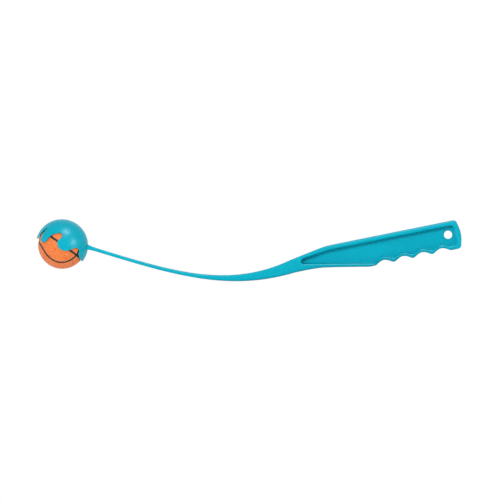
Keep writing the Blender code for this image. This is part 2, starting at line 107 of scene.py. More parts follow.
# Shaft's centre line: cup end, two handles and grip end
SHAFT_LINE = [
    Vector(point) * MM
    for point in ((-430, 0, 69.9), (-338.3, 0, 20.4), (-274.2, 0, -16.45), (-185.6, 0, 1.25))
]
SHAFT_THICKNESS = (4.25 * MM, 17.7 * MM)
SHAFT_DEPTH = (15.0 * MM, 26.0 * MM)
SHAFT_EDGE = (1.5 * MM, 3.2 * MM)
THICKENING_POWER = 3.28      # how late along the shaft it thickens, and how late it widens
WIDENING_POWER = 2.2
CUP_FLARE = 2.0 * MM
CUP_FLARE_RUN = 4.0 * MM
SHAFT_END_SHARE = 0.97
REAR_CUT_SHARE = 0.70        # where one piece of the shaft's skin gives way to the next
MIDDLE_CUT_SHARE = 0.42
FRONT_CUT_SHARE = 0.14

# Grip
GRIP_DEPTH = SHAFT_DEPTH[1]
GRIP_EDGE = SHAFT_EDGE[1]
BACK_HEIGHT = 16.2 * MM
BACK_SLOPE = 0.185
SHOULDER_X = -150.0 * MM
SHOULDER_ROUND = 0.8 * MM
CREST_DROP = 19.3 * MM
CREST_START = -100.9 * MM
GROOVES_START = -94.7 * MM
UNDER_SLOPE = 0.187
NECK_DROP = 8.0 * MM
NECK_ROUND = 1.6 * MM
GROOVE_PITCH = 23.85 * MM
GROOVE_DEPTH = 4.6 * MM
GROOVE_COUNT = 4
CREST_ROUND = 0.38           # rounding of the crests, over the groove's own wave
FOOT_ROUND = 0.35
BUTT_X = 15.7 * MM
BUTT_CROWN = 2.0 * MM
BUTT_CORNER = 5.0 * MM
WEB_THICKNESS = 3.4 * MM
BACK_FLANGE = 6.0 * MM
FRONT_FLANGE = 2.9 * MM      # under the recess: at the front crest, at the other crests, at the grooves
CREST_FLANGE = 5.2 * MM
GROOVE_FLANGE = 4.35 * MM
BUTT_FLANGE = 7.3 * MM
NOSE = (-178.7 * MM, 3.0 * MM)
NOSE_RADIUS = 3.1 * MM
RECESS_CORNER = 4.0 * MM
HANG_HOLE_RADIUS = 5.0 * MM

# Half of the cup's rim: degrees round the mouth's axis from the heel, degrees past the widest circle
HEEL_RIM = [(0, 10.2), (9, 10.6), (18, 10.5), (27.5, 8.8), (36.0, 5.2), (41.8, -0.3), (45.0, -6.0)]
FRONT_BAY = [(49.4, -10.2), (55.1, -10.4)]
THUMB_RIM = [(61.5, -7.0), (66.0, -2.4), (71.0, 2.8), (77.5, 7.2), (85.7, 9.3), (94.2, 7.5), (99.8, 3.0),
             (102.2, -2.5), (101.6, -9.0), (99.3, -15.5), (100.4, -20.8)]
SIDE_BAY = [(103.6, -23.0), (108.0, -23.2), (113.2, -20.3)]
SIDE_RIM = [(119.7, -14.5), (124.4, -7.0), (127.4, 0.8), (129.3, 8.0), (133.7, 12.5), (140.2, 13.2),
            (145.9, 9.8), (148.4, 3.5), (149.0, -5.0), (147.8, -12.0), (146.9, -18.6)]
SLOT_END = [(148.9, -21.2)]
CENTRE_RIM = [(151.4, -18.6), (155.4, -11.6), (159.6, -5.0), (163.4, 2.5), (165.0, 8.3), (171.0, 11.4),
              (180, 11.8)]
RIM_STEPS = 5
FINGERS = ("thumb_right", "side_finger_right", "centre_finger", "side_finger_left", "thumb_left")
RIM_STRIP = 0.6 * MM         # faces along the rim that its rounding is cut into
FINGER_STEPS = 12
CROWN_STEPS = 14             # rows from the rim to the first of the crown's circles
CROWN_CIRCLES = (-52, -58, -64, -70, -76, -82, -86.5)        # degrees past the widest circle

# Ball's seams: a straight one across the outward side, and a curved loop round an axis, mirrored on the side
# not seen. A direction is a turn from the photograph's right, and a tilt off the way out of it.
STRAIGHT_SEAM_DEG = -35.8
LOOP_AXIS_DEG = (121.0, 34.1)
LOOP_SWING_DEG = (67.5, 15.05, -1.8)         # off the axis: middle, and its swing twice and four times a turn
LOOP_TURN = 0.35             # share of the radius over which the loop bends back on the side not seen
AIR_HOLE_DEG = (-82.8, 32.8)
AIR_HOLE_DEPTH = 1.2 * MM
AIR_HOLE_RADIUS = 0.8 * MM

# Studio: strength of the light in the air, of the backdrop, and of the haze the floor takes from the backdrop
AIR_LIGHT = 0.56
BACKDROP_LIGHT = 1.0
FLOOR_HAZE = 0.18
FLOOR_REACH = 3.0
CAMERA_REACH = 2.0

# Soft lamps that don't gleam: direction to the photograph's right, up and out of it, and watts
FILL_REACH = 3.6
FILL_SIZE = 1.3
FILLS = (
    ("front_fill", (-0.20, 0.26, 0.94), 68),
    ("back_fill", (0.10, 0.50, -0.86), 60),
)

# Lamps that only gleam: direction, width, watts, and whether the lamp is kept to the cup
GLINT_REACH = 1.4
GLINTS = (
    ("upper_glint", (0.277, 0.865, 0.421), 0.60, 27, False),
    ("right_glint", (0.778, 0.184, 0.599), 0.56, 21, True),
)


def linear(hex_colour):
    """An sRGB hex colour as linear red, green and blue."""
    channels = [int(hex_colour[i:i + 2], 16) / 255 for i in (1, 3, 5)]
    return [c / 12.92 if c <= 0.04045 else ((c + 0.055) / 1.055) ** 2.4 for c in channels]


class ThrowerSizes(bpy.types.PropertyGroup):
    cup_wall: FloatProperty(
        name="Cup wall", description="Thickness of the cup and its fingers",
        default=1.4 * MM, min=0.5 * MM, max=4 * MM, unit="LENGTH", precision=5)
    rim_round: FloatProperty(
        name="Rim rounding", description="Rounding of the cup's rim and of the fingers' edges",
        default=0.45 * MM, min=0.05 * MM, max=0.6 * MM, unit="LENGTH", precision=5)
    lip_round: FloatProperty(
        name="Lip rounding", description="Rounding of the edge where the grip's rim drops into its recess",
        default=2.4 * MM, min=0.1 * MM, max=3 * MM, unit="LENGTH", precision=5)
    floor_fillet: FloatProperty(
        name="Floor fillet", description="Fillet between the recess wall and the web",
        default=1.0 * MM, min=0.1 * MM, max=2 * MM, unit="LENGTH", precision=5)
    wall_draft: FloatProperty(
        name="Wall draft", description="How far the recess wall leans in from lip to floor",
        default=0.3 * MM, min=0.0, max=1.5 * MM, unit="LENGTH", precision=5)
    ball_diameter: FloatProperty(
        name="Ball diameter", description="Outside diameter of the ball",
        default=58.8 * MM, min=40 * MM, max=60 * MM, unit="LENGTH", precision=5)
    seam_width: FloatProperty(
        name="Seam width", description="Width of the ball's dark seams",
        default=2.7 * MM, min=0.5 * MM, max=4 * MM, unit="LENGTH", precision=5)
    seam_depth: FloatProperty(
        name="Seam depth", description="How far the seams sink into the ball",
        default=0.45 * MM, min=0.0, max=1 * MM, unit="LENGTH", precision=5)
    pebble: FloatProperty(
        name="Pebble size", description="Width of one pebble of the ball's grain",
        default=1.7 * MM, min=0.5 * MM, max=4 * MM, unit="LENGTH", precision=5)


class ThrowerColours(bpy.types.PropertyGroup):
    plastic: FloatVectorProperty(
        name="Plastic", description="Colour of the moulding",
        subtype="COLOR", size=3, min=0, max=1, default=linear("#00AEC4"))
    plastic_shade: FloatVectorProperty(
        name="Plastic shade", description="Darker streaks left as the melt flowed",
        subtype="COLOR", size=3, min=0, max=1, default=linear("#00A8BE"))
    rubber: FloatVectorProperty(
        name="Rubber", description="Colour of the ball",
        subtype="COLOR", size=3, min=0, max=1, default=linear("#F08340"))
    # Painted shade: the darker rubber colour that fills the valleys between the ball's pebbles.
    rubber_valley_shade: FloatVectorProperty(
        name="Rubber shade", description="Colour between the ball's pebbles",
        subtype="COLOR", size=3, min=0, max=1, default=linear("#DE6A28"))
    seam: FloatVectorProperty(
        name="Seam", description="Colour of the ball's seams",
        subtype="COLOR", size=3, min=0, max=1, default=linear("#0B0706"))
    floor: FloatVectorProperty(
        name="Floor", description="Colour of the studio floor",
        subtype="COLOR", size=3, min=0, max=1, default=linear("#EFEFED"))


def sizes():
    return bpy.context.scene.thrower_sizes


def colours():
    return bpy.context.scene.thrower_colours


def add(tree, kind, inputs=None, **settings):
    """Adds a node with its settings, and fills or links its inputs."""
    made = tree.nodes.new(kind)
    for name, value in settings.items():
        setattr(made, name, value)
    for name, value in (inputs or {}).items():
        if isinstance(value, bpy.types.NodeSocket):
            tree.links.new(value, made.inputs[name])
        else:
            made.inputs[name].default_value = value
    return made


def moulded_polypropylene():
    # Injection-moulded polypropylene: a saturated, faintly waxy skin with soft highlights, fine orange peel
    # from the polished tool, and faint hairline scuffs along it from being thrown with.
    found = bpy.data.materials.get("moulded_polypropylene")
    if found:
        return found
    material = bpy.data.materials.new("moulded_polypropylene")
    material.use_nodes = True
    tree = material.node_tree
    shader = tree.nodes["Principled BSDF"]
    place = add(tree, "ShaderNodeTexCoord").outputs["Object"]
    # Melt flow shows as streaks some 60 mm long and 15 mm across.
    drawn = add(tree, "ShaderNodeMapping", {"Vector": place, "Scale": (0.25, 1.0, 1.0)})
    flow = add(tree, "ShaderNodeTexNoise", {
        "Vector": drawn.outputs[0], "Scale": 1 / (15 * MM), "Detail": 3.0})
    blend = add(tree, "ShaderNodeMapRange", {"Value": flow.outputs[0], "From Min": 0.35, "From Max": 0.65})
    colour = add(tree, "ShaderNodeMix", {
        "Factor": blend.outputs[0], 6: (*colours().plastic, 1), 7: (*colours().plastic_shade, 1)},
        data_type="RGBA")
    # Scuffs are hairlines about 0.4 mm wide, taken from a 0.9 mm noise drawn out along the thrower.
    hairs = add(tree, "ShaderNodeMapping", {"Vector": place, "Scale": (0.04, 1.0, 1.0)})
    scuff = add(tree, "ShaderNodeTexNoise", {
        "Vector": hairs.outputs[0], "Scale": 1 / (0.9 * MM), "Detail": 2.0})
    worn = add(tree, "ShaderNodeMapRange", {
        "Value": scuff.outputs[0], "From Min": 0.60, "From Max": 0.78, "To Min": 0.32, "To Max": 0.35})
    # Orange peel of the tool, 1.6 mm across so that it shows in a highlight.
    peel = add(tree, "ShaderNodeTexNoise", {"Vector": place, "Scale": 1 / (1.6 * MM), "Detail": 2.0})
    bump = add(tree, "ShaderNodeBump", {"Height": peel.outputs[0], "Strength": 0.15, "Distance": 0.02 * MM})
    tree.links.new(colour.outputs[2], shader.inputs["Base Color"])
    tree.links.new(worn.outputs[0], shader.inputs["Roughness"])
    tree.links.new(bump.outputs[0], shader.inputs["Normal"])
    shader.inputs["IOR"].default_value = 1.49
    shader.inputs["Specular IOR Level"].default_value = 0.1
    return material


def moulded_rubber():
    # Moulded natural rubber: a matt, slightly powdery skin with pebble grain, painted shade in the valleys
    # between the pebbles, and black seams let into it.
    found = bpy.data.materials.get("moulded_rubber")
    if found:
        return found
    material = bpy.data.materials.new("moulded_rubber")
    material.use_nodes = True
    tree = material.node_tree
    shader = tree.nodes["Principled BSDF"]
    place = add(tree, "ShaderNodeTexCoord").outputs["Object"]
    # Real pebbles are near 0.9 mm; they are drawn wider so that they show at this distance.
    grain = add(tree, "ShaderNodeTexVoronoi", {"Vector": place, "Scale": 1 / sizes().pebble},
                feature="SMOOTH_F1")
    crown = add(tree, "ShaderNodeMapRange", {
        "Value": grain.outputs["Distance"], "From Min": 0.25, "From Max": 0.75, "To Min": 1.0, "To Max": 0.0})
    # Painted shade: the colour darkens from each pebble's top into the valleys between pebbles.
    skin = add(tree, "ShaderNodeMix", {
        "Factor": crown.outputs[0], 6: (*colours().rubber_valley_shade, 1), 7: (*colours().rubber, 1)},
        data_type="RGBA")
    distance = add(tree, "ShaderNodeAttribute", attribute_name="seam_distance").outputs["Fac"]
    half = sizes().seam_width / 2
    seam = add(tree, "ShaderNodeMapRange", {
        "Value": distance, "From Min": half * 0.75, "From Max": half * 1.25, "To Min": 1.0, "To Max": 0.0},
        interpolation_type="SMOOTHSTEP")
    colour = add(tree, "ShaderNodeMix", {
        "Factor": seam.outputs[0], 6: skin.outputs[2], 7: (*colours().seam, 1)}, data_type="RGBA")
    # The grain stops at the seams.
    smooth = add(tree, "ShaderNodeMapRange", {"Value": seam.outputs[0], "To Min": 1.0, "To Max": 0.0})
    height = add(tree, "ShaderNodeMath", {0: crown.outputs[0], 1: smooth.outputs[0]}, operation="MULTIPLY")
    bump = add(tree, "ShaderNodeBump", {
        "Height": height.outputs[0], "Strength": 0.5, "Distance": 0.12 * MM})
    rough = add(tree, "ShaderNodeMapRange", {"Value": crown.outputs[0], "To Min": 0.75, "To Max": 0.58})
    tree.links.new(colour.outputs[2], shader.inputs["Base Color"])
    tree.links.new(rough.outputs[0], shader.inputs["Roughness"])
    tree.links.new(bump.outputs[0], shader.inputs["Normal"])
    shader.inputs["IOR"].default_value = 1.52
    shader.inputs["Sheen Weight"].default_value = 0.08
    shader.inputs["Sheen Roughness"].default_value = 0.5
    return material


def backdrop_seen(tree):
    """1 for a ray that shows the backdrop: from the camera, off a gloss or through a clear piece."""
    path = add(tree, "ShaderNodeLightPath")
    seen = add(tree, "ShaderNodeMath", {0: path.outputs["Is Camera Ray"], 1: path.outputs["Is Glossy Ray"]},
               operation="MAXIMUM")
    seen = add(tree, "ShaderNodeMath", {0: seen.outputs[0], 1: path.outputs["Is Transmission Ray"]},
               operation="MAXIMUM")
    return seen.outputs[0]


def painted_board():
    # Matt painted board: near white, with the thrower's soft shadow on it. It adds a little of the white
    # backdrop where the backdrop shows, so that the board ends in it without a line.
    material = bpy.data.materials.new("painted_board")
    material.use_nodes = True
    tree = material.node_tree
    shader = tree.nodes["Principled BSDF"]
    shader.inputs["Base Color"].default_value = (*colours().floor, 1)
    shader.inputs["Emission Color"].default_value = (1, 1, 1, 1)
    haze = add(tree, "ShaderNodeMath", {0: backdrop_seen(tree), 1: FLOOR_HAZE}, operation="MULTIPLY")
    tree.links.new(haze.outputs[0], shader.inputs["Emission Strength"])
    shader.inputs["Roughness"].default_value = 0.9
    return material


def photo_axes():
    """Directions to the photograph's right and up it, as the thrower stands."""
    roll = math.radians(PHOTO_SLOPE_DEG) - math.atan2(ALONG.z, ALONG.x)
    return Vector((math.cos(roll), 0, -math.sin(roll))), Vector((math.sin(roll), 0, math.cos(roll)))


def placed(mesh, name):
    """An object at the origin for a mesh drawn in the grip's frame."""
    mesh.transform(GRIP_FRAME)
    mesh.name = name
    obj = bpy.data.objects.new(name, mesh)
    bpy.context.scene.collection.objects.link(obj)
    return obj


def evaluated(bm, modify):
    """The mesh that a bmesh becomes under the modifiers which modify adds to it."""
    mesh = bpy.data.meshes.new("drawn")
    bm.to_mesh(mesh)
    bm.free()
    obj = bpy.data.objects.new("drawn", mesh)
    bpy.context.scene.collection.objects.link(obj)
    modify(obj)
    bpy.context.view_layer.update()
    made = bpy.data.meshes.new_from_object(obj.evaluated_get(bpy.context.evaluated_depsgraph_get()))
    bpy.data.objects.remove(obj)
    bpy.data.meshes.remove(mesh)
    return made


def soft_min(a, b, rounding):
    """The lower of two heights, with their corner rounded."""
    return (a + b - math.sqrt((a - b) ** 2 + rounding ** 2)) / 2


def grown(bm, verts, ring, closed=True):
    """Extrudes a row of vertices and moves the new row to its places."""
    count = len(verts)
    pairs = [(verts[i - 1], verts[i]) for i in range(0 if closed else 1, count)]
    made = bmesh.ops.extrude_edge_only(bm, edges=[bm.edges.get(pair) for pair in pairs])["geom"]
    fresh = {v for v in made if isinstance(v, bmesh.types.BMVert)}
    row = []
    for vert, place in zip(verts, ring):
        new = [e.other_vert(vert) for e in vert.link_edges if e.other_vert(vert) in fresh][0]
        new.co = place
        row.append(new)
    return row, [f for f in made if isinstance(f, bmesh.types.BMFace)]


def swept(rings, start_cap, end_cap):
    """A skin drawn through rings of equal count."""
    bm = bmesh.new()
    row = bmesh.ops.create_circle(bm, segments=len(rings[0]), radius=GRIP_DEPTH)["verts"]
    for vert, place in zip(row, rings[0]):
        vert.co = place
    first = row
    for ring in rings[1:]:
        row, _ = grown(bm, row, ring)
    for end, capped in ((first, start_cap), (row, end_cap)):
        if capped:
            edges = [bm.edges.get((end[i - 1], end[i])) for i in range(len(end))]
            bmesh.ops.edgeloop_fill(bm, edges=edges)
            # The first end is shut inside another piece, and its cap stays out of the shading.
            for edge in edges:
                edge.smooth = end is not first
    bmesh.ops.recalc_face_normals(bm, faces=bm.faces)
    return bm


def shaded(bm):
    """The same bmesh, with its faces shaded smooth."""
    for face in bm.faces:
        face.smooth = True
    return bm


def section(centre, up, height, depth, radius):
    """A ring round a rounded rectangle that stands across the profile plane."""
    # The rounding leaves a flat on each side, so that no two corners of the ring meet.
    radius = min(radius, height * 0.42, depth * 0.42)
    ring = []
    for side, lift, start in ((1, 1, 0), (-1, 1, 90), (-1, -1, 180), (1, -1, 270)):
        for i in range(7):
            turn = math.radians(start + 15 * i)
            y = side * (depth / 2 - radius) + radius * math.cos(turn)
            z = lift * (height / 2 - radius) + radius * math.sin(turn)
            ring.append(centre + up * z - ACROSS * y)
    return ring


def shaft_at(share):
    """Place on the shaft's centre line, its heading, and the way square to it."""
    tip, bow, sweep, root = SHAFT_LINE
    rest = 1 - share
    place = tip * rest ** 3 + bow * 3 * rest ** 2 * share + sweep * 3 * rest * share ** 2 + root * share ** 3
    heading = (bow - tip) * rest ** 2 + (sweep - bow) * 2 * rest * share + (root - sweep) * share ** 2
    heading.normalize()
    return place, heading, Vector((-heading.z, 0, heading.x))


def shaft_section(share):
    place, _, up = shaft_at(share)
    part = max(share, 0.0)
    thick, depth, edge = (
        pair[0] + (pair[1] - pair[0]) * part ** power
        for pair, power in (
            (SHAFT_THICKNESS, THICKENING_POWER), (SHAFT_DEPTH, WIDENING_POWER), (SHAFT_EDGE, 1)))
    past_cup = max((place - CUP_CENTRE).length - CUP_INSIDE - sizes().cup_wall, 0.0)
    flare = CUP_FLARE * math.exp(-past_cup / CUP_FLARE_RUN)
    return section(place, up, thick + flare, depth + flare, edge)


def shaft_rings(start, end, count):
    return [shaft_section(start + (end - start) * i / count) for i in range(count + 1)]


def back(x):
    """Height of the grip's upper edge."""
    return soft_min(BACK_HEIGHT + BACK_SLOPE * (x - SHOULDER_X), BACK_HEIGHT, SHOULDER_ROUND)


def groove_wave(along, rounding):
    """How far into a groove an edge is, from 0 at a crest to 1, with the crests rounded by a share."""
    wave = math.sin(math.pi * along / GROOVE_PITCH) ** 2
    return (math.sqrt(wave + rounding ** 2) - rounding) / (math.sqrt(1 + rounding ** 2) - rounding)


def underside(x):
    """Height of the grip's lower edge: neck, slope down to the front crest, then grooves between crests."""
    along = x - GROOVES_START
    if 0 < along < GROOVE_PITCH * GROOVE_COUNT:
        return -CREST_DROP + GROOVE_DEPTH * groove_wave(along, CREST_ROUND)
    if x > CREST_START:
        return -CREST_DROP
    return soft_min(-CREST_DROP - UNDER_SLOPE * (x - CREST_START), -NECK_DROP, NECK_ROUND)


def grip_section(x):
    """Ring of the grip at x, rounding off over the butt's corners, its bulge and its two side edges."""
    top, bottom, depth = back(x), underside(x), GRIP_DEPTH
    corner_end = BUTT_X - BUTT_CROWN
    into_corner = min(max((x - corner_end) / BUTT_CORNER + 1, 0.0), 1.0)
    drop = BUTT_CORNER * (1 - math.sqrt(1 - into_corner ** 2))
    top, bottom = top - drop, bottom + drop
    if x > corner_end:
        shrink = math.sqrt(max(BUTT_X - x, 0.0) / BUTT_CROWN)
        middle, half = (top + bottom) / 2, (top - bottom) / 2
        top, bottom = middle + half * shrink, middle - half * shrink
    into_edge = min(max((x - BUTT_X) / GRIP_EDGE + 1, 0.0), 1.0)
    depth -= 2 * GRIP_EDGE * (1 - math.sqrt(1 - into_edge ** 2))
    return section(Vector((x, 0, (top + bottom) / 2)), Vector((0, 0, 1)), top - bottom, depth, GRIP_EDGE)


def grip_rings():
    rings = shaft_rings(REAR_CUT_SHARE, SHAFT_END_SHARE, 36)
    start = SHAFT_LINE[3].x + 2 * MM
    rings += [grip_section(start + (CREST_START - start) * i / 40) for i in range(41)]
    steps = 24
    rings += [grip_section(GROOVES_START + GROOVE_PITCH * i / steps) for i in range(GROOVE_COUNT * steps + 1)]
    corner_end = BUTT_X - BUTT_CROWN
    turns = [math.radians(7.5 * i) for i in range(13)]
    rings += [grip_section(corner_end - BUTT_CORNER * (1 - math.sin(turn))) for turn in turns]
    rings += [grip_section(BUTT_X - BUTT_CROWN * (1 - i / 12) ** 2) for i in range(1, 12)]
    return rings


def arc(centre_x, centre_z, radius, start_deg, end_deg, steps):
    turns = [math.radians(start_deg + (end_deg - start_deg) * i / steps) for i in range(steps + 1)]
    return [Vector((centre_x + radius * math.cos(t), 0, centre_z + radius * math.sin(t))) for t in turns]


def recess_foot(along):
    """Place on the recess's lower wall, at a distance past the front crest."""
    low = FRONT_FLANGE if along < GROOVE_PITCH / 2 else CREST_FLANGE
    rise = GROOVE_DEPTH + GROOVE_FLANGE - low
    return Vector((GROOVES_START + along, 0, -CREST_DROP + low + rise * groove_wave(along, FOOT_ROUND)))


def recess_outline():
    """Outline of the recess, clockwise as the camera sees it: nose, top, butt end and wavy foot."""
    right = BUTT_X - BUTT_FLANGE
    top = BACK_HEIGHT - BACK_FLANGE
    low = -CREST_DROP + CREST_FLANGE
    nose = arc(NOSE[0], NOSE[1], NOSE_RADIUS, 255, 99, 12)
    rise = Vector((SHOULDER_X - 2 * MM, 0, top - 0.4 * MM))
    points = nose + [nose[-1].lerp(rise, i / 12) for i in range(1, 13)]
    points += [Vector((SHOULDER_X + 3 * MM, 0, top))]
    run = right - RECESS_CORNER - points[-1].x
    points += [Vector((points[-1].x + run * i / 60, 0, top)) for i in range(1, 60)]
    points += arc(right - RECESS_CORNER, top - RECESS_CORNER, RECESS_CORNER, 90, 0, 8)
    points += arc(right - RECESS_CORNER, low + RECESS_CORNER, RECESS_CORNER, 0, -80, 7)
    steps = GROOVE_COUNT * 20
    points += [recess_foot(GROOVE_PITCH * GROOVE_COUNT * i / steps) for i in range(steps, -1, -1)]
    foot = points[-1]
    points += [foot.lerp(nose[0], i / 40) for i in range(1, 40)]
    return points


def offset(points, distance):
    """The outline moved outwards by a distance."""
    moved = []
    for i, point in enumerate(points):
        along = (points[(i + 1) % len(points)] - points[i - 1]).normalized()
        moved.append(point + Vector((-along.z, 0, along.x)) * distance)
    return moved


def stacked(name, outline, levels):
    """A cutter drawn through copies of an outline, each with its own place across and its own offset."""
    rings = [[point + Vector((0, y, 0)) for point in offset(outline, out)] for y, out in levels]
    mesh = bpy.data.meshes.new(name)
    bm = swept(rings, True, True)
    bm.to_mesh(mesh)
    bm.free()
    obj = bpy.data.objects.new(name, mesh)
    bpy.context.scene.collection.objects.link(obj)
    return obj


def recess_levels(side):
    """Rounded lip, leaning wall and filleted floor of a recess, from outside the grip to its web."""
    face, floor = GRIP_DEPTH / 2, WEB_THICKNESS / 2
    lip, fillet, draft = sizes().lip_round, sizes().floor_fillet, sizes().wall_draft
    levels = [(side * (face + 2 * MM), lip * (1 - math.cos(math.radians(80))))]
    for turn in (80, 70, 60, 50, 40, 30, 20, 10, 0):
        t = math.radians(turn)
        levels.append((side * (face - lip * (1 - math.sin(t))), lip * (1 - math.cos(t))))
    for turn in (0, 15, 30, 45, 60, 75, 90):
        t = math.radians(turn)
        levels.append((side * (floor + fillet * (1 - math.sin(t))), -draft - fillet * (1 - math.cos(t))))
    return levels


class THROWER_OT_grip(bpy.types.Operator):
    """Draws the grip and neck, sinks a recess into each side and pierces the hang hole"""
    bl_idname = "thrower.grip"
    bl_label = "Grip"

    def execute(self, context):
        outline = recess_outline()
        cutters = [
            stacked("left_recess", outline, recess_levels(1)),
            stacked("right_recess", outline, recess_levels(-1)),
        ]
        # The hang hole widens a little at both faces of the web.
        web = WEB_THICKNESS / 2
        circle = arc(0, 0, HANG_HOLE_RADIUS, 360, 7.5, 47)
        widening = ((-1.0, 0.5), (0.0, 0.4), (0.15, 0.15), (0.5, 0.0))
        bell = [(-web + inwards * MM, out * MM) for inwards, out in widening]
        cutters.append(stacked("hang_hole", circle, bell + [(-y, out) for y, out in reversed(bell)]))

        def modify(obj):
            for cutter in cutters:
                cut = obj.modifiers.new(cutter.name, "BOOLEAN")
                cut.operation, cut.object = "DIFFERENCE", cutter
            even = obj.modifiers.new("even_shading", "WEIGHTED_NORMAL")
            even.keep_sharp = True

        # Both ends are shut, because a cut in an open skin comes out wrong now and then.
        mesh = evaluated(shaded(swept(grip_rings(), True, True)), modify)
        for cutter in cutters:
            bpy.data.objects.remove(cutter)
        grip = placed(mesh, "grip")
        mesh.materials.clear()
        mesh.materials.append(moulded_polypropylene())
        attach(grip, "handle")
        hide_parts("handle")
        return {"FINISHED"}


class THROWER_OT_shaft(bpy.types.Operator):
    """Draws the bowed shaft in three stretches"""
    bl_idname = "thrower.shaft"
    bl_label = "Shaft"

    def execute(self, context):
        # The shaft's tip runs on until it is buried in the cup's wall.
        buried = CUP_INSIDE + 0.35 * MM
        start = 0.0
        while (shaft_at(start)[0] - CUP_CENTRE).length > buried:
            start -= 0.0005
        # Name, both ends, rows, the two bodies it joins, where it bends, and the node that it replaces
        stretches = (
            ("shaft_tip", start, FRONT_CUT_SHARE, 40,
             ("shaft_front", "cup"), (0.125, 0.012), None),
            ("shaft_middle", FRONT_CUT_SHARE, MIDDLE_CUT_SHARE, 30,
             ("shaft_rear", "shaft_front"), (0.41, 0.15), "shaft_front"),
            ("shaft_belly", MIDDLE_CUT_SHARE, REAR_CUT_SHARE, 30,
             ("handle", "shaft_rear"), (0.68, 0.43), "shaft_rear"),
        )
        for name, near, far, count, bodies, zone, stands_for in stretches:
            mesh = bpy.data.meshes.new(name)
            bm = shaded(swept(shaft_rings(near, far, count), near == start, False))
            bm.to_mesh(mesh)
            bm.free()
            mesh.set_sharp_from_angle(angle=math.radians(40))
            stretch = placed(mesh, name)
            mesh.materials.append(moulded_polypropylene())
            begin, end = (GRIP_FRAME @ shaft_at(share)[0] for share in zone)
            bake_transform(stretch)
            if stands_for:
                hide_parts(stands_for)
        return {"FINISHED"}


def out_from_cup(spot):
    """Direction out of the cup's centre, for degrees round the mouth's axis and past the widest circle."""
    around, past = math.radians(spot[0]), math.radians(spot[1])
    return (HEEL * math.cos(around) + ACROSS * math.sin(around)) * math.cos(past) + MOUTH * math.sin(past)


def rim_points():
    return HEEL_RIM + FRONT_BAY + THUMB_RIM + SIDE_BAY + SIDE_RIM + SLOT_END + CENTRE_RIM


def curved(share, a, b, c, d):
    """A value on the smooth curve through four values, at a share of the way from the second to the third."""
    square = (2 * a - 5 * b + 4 * c - d) * share ** 2
    cube = (3 * b - a - 3 * c + d) * share ** 3
    return (2 * b + (c - a) * share + square + cube) / 2


def rim_row():
    """The half rim as a smooth row of directions through its points."""
    points = rim_points()
    row = []
    for i in range(len(points) - 1):
        near = [points[min(max(i + k, 0), len(points) - 1)] for k in (-1, 0, 1, 2)]
        for k in range(RIM_STEPS):
            row.append(out_from_cup([curved(k / RIM_STEPS, *values) for values in zip(*near)]))
    return row + [out_from_cup(points[-1])]


def other_side(row):
    return [Vector((d.x, -d.y, d.z)) for d in reversed(row)]


def slerped(start, end, steps):
    """Directions from one to another along the great circle between them."""
    turn = start.angle(end)
    return [(start * math.sin(turn * (1 - i / steps)) + end * math.sin(turn * i / steps)) / math.sin(turn)
            for i in range(steps + 1)]


def cup_edges():
    """The rim, in order all the way round: each stretch with the name of its finger, or None between them."""
    row = rim_row()
    points = rim_points()

    def index(point):
        return points.index(point) * RIM_STEPS

    thumb = row[index(THUMB_RIM[0]):index(THUMB_RIM[-1]) + 1]
    side = row[index(SIDE_RIM[0]):index(SIDE_RIM[-1]) + 1]
    centre = row[index(CENTRE_RIM[0]):]
    centre += other_side(centre)[1:]
    heel = row[:index(THUMB_RIM[0]) + 1]
    bay = row[index(THUMB_RIM[-1]):index(SIDE_RIM[0]) + 1]
    slot = row[index(SIDE_RIM[-1]):index(CENTRE_RIM[0]) + 1]
    near = [(None, heel), ("thumb_right", thumb), (None, bay), ("side_finger_right", side), (None, slot)]
    far = [(name and name.replace("right", "left"), other_side(stretch)) for name, stretch in reversed(near)]
    return near + [("centre_finger", centre)] + far


def inset(rim):
    """The rim's directions moved back into the wall by the width of the strip along it."""
    moved = []
    for i, way in enumerate(rim):
        inwards = (rim[(i + 1) % len(rim)] - rim[i - 1]).cross(way).normalized()
        moved.append((way + inwards * RIM_STRIP / CUP_INSIDE).normalized())
    return moved


def in_cup(direction):
    return CUP_CENTRE + direction.normalized() * CUP_INSIDE


def grow_crown(bm, edge):
    """The crown's inner face, from its edge to the pole opposite the mouth; gives back its edge."""
    loop = bmesh.ops.create_circle(bm, segments=len(edge), radius=CUP_INSIDE)["verts"]
    for vert, direction in zip(loop, edge):
        vert.co = in_cup(direction)
    flat = [(d - MOUTH * d.dot(MOUTH)).normalized() for d in edge]
    row = loop
    for past in CROWN_CIRCLES:
        low = math.radians(past)
        circle = [f * math.cos(low) + MOUTH * math.sin(low) for f in flat]
        steps = CROWN_STEPS if past == CROWN_CIRCLES[0] else 1
        start = edge if past == CROWN_CIRCLES[0] else circle
        for k in range(1, steps + 1):
            row, _ = grown(bm, row, [in_cup(d.lerp(c, k / steps)) for d, c in zip(start, circle)])
    grown(bm, row, [in_cup(-MOUTH)] * len(edge))
    bmesh.ops.remove_doubles(bm, verts=bm.verts, dist=0.001 * MM)
    return loop


def grow_finger(bm, root, rim, slot_number):
    """A finger's inner face, in rows from its root to its rim; gives back the row at the rim."""
    base = [(vert.co - CUP_CENTRE).normalized() for vert in root]
    verts = root
    for k in range(1, FINGER_STEPS + 1):
        places = [in_cup(b.lerp(r, k / FINGER_STEPS)) for b, r in zip(base, rim)]
        row, faces = grown(bm, verts, places, closed=False)
        for face in faces:
            face.material_index = slot_number
        bmesh.ops.weld_verts(bm, targetmap={row[0]: root[0], row[-1]: root[-1]})
        verts = [root[0]] + row[1:-1] + [root[-1]]
    return verts


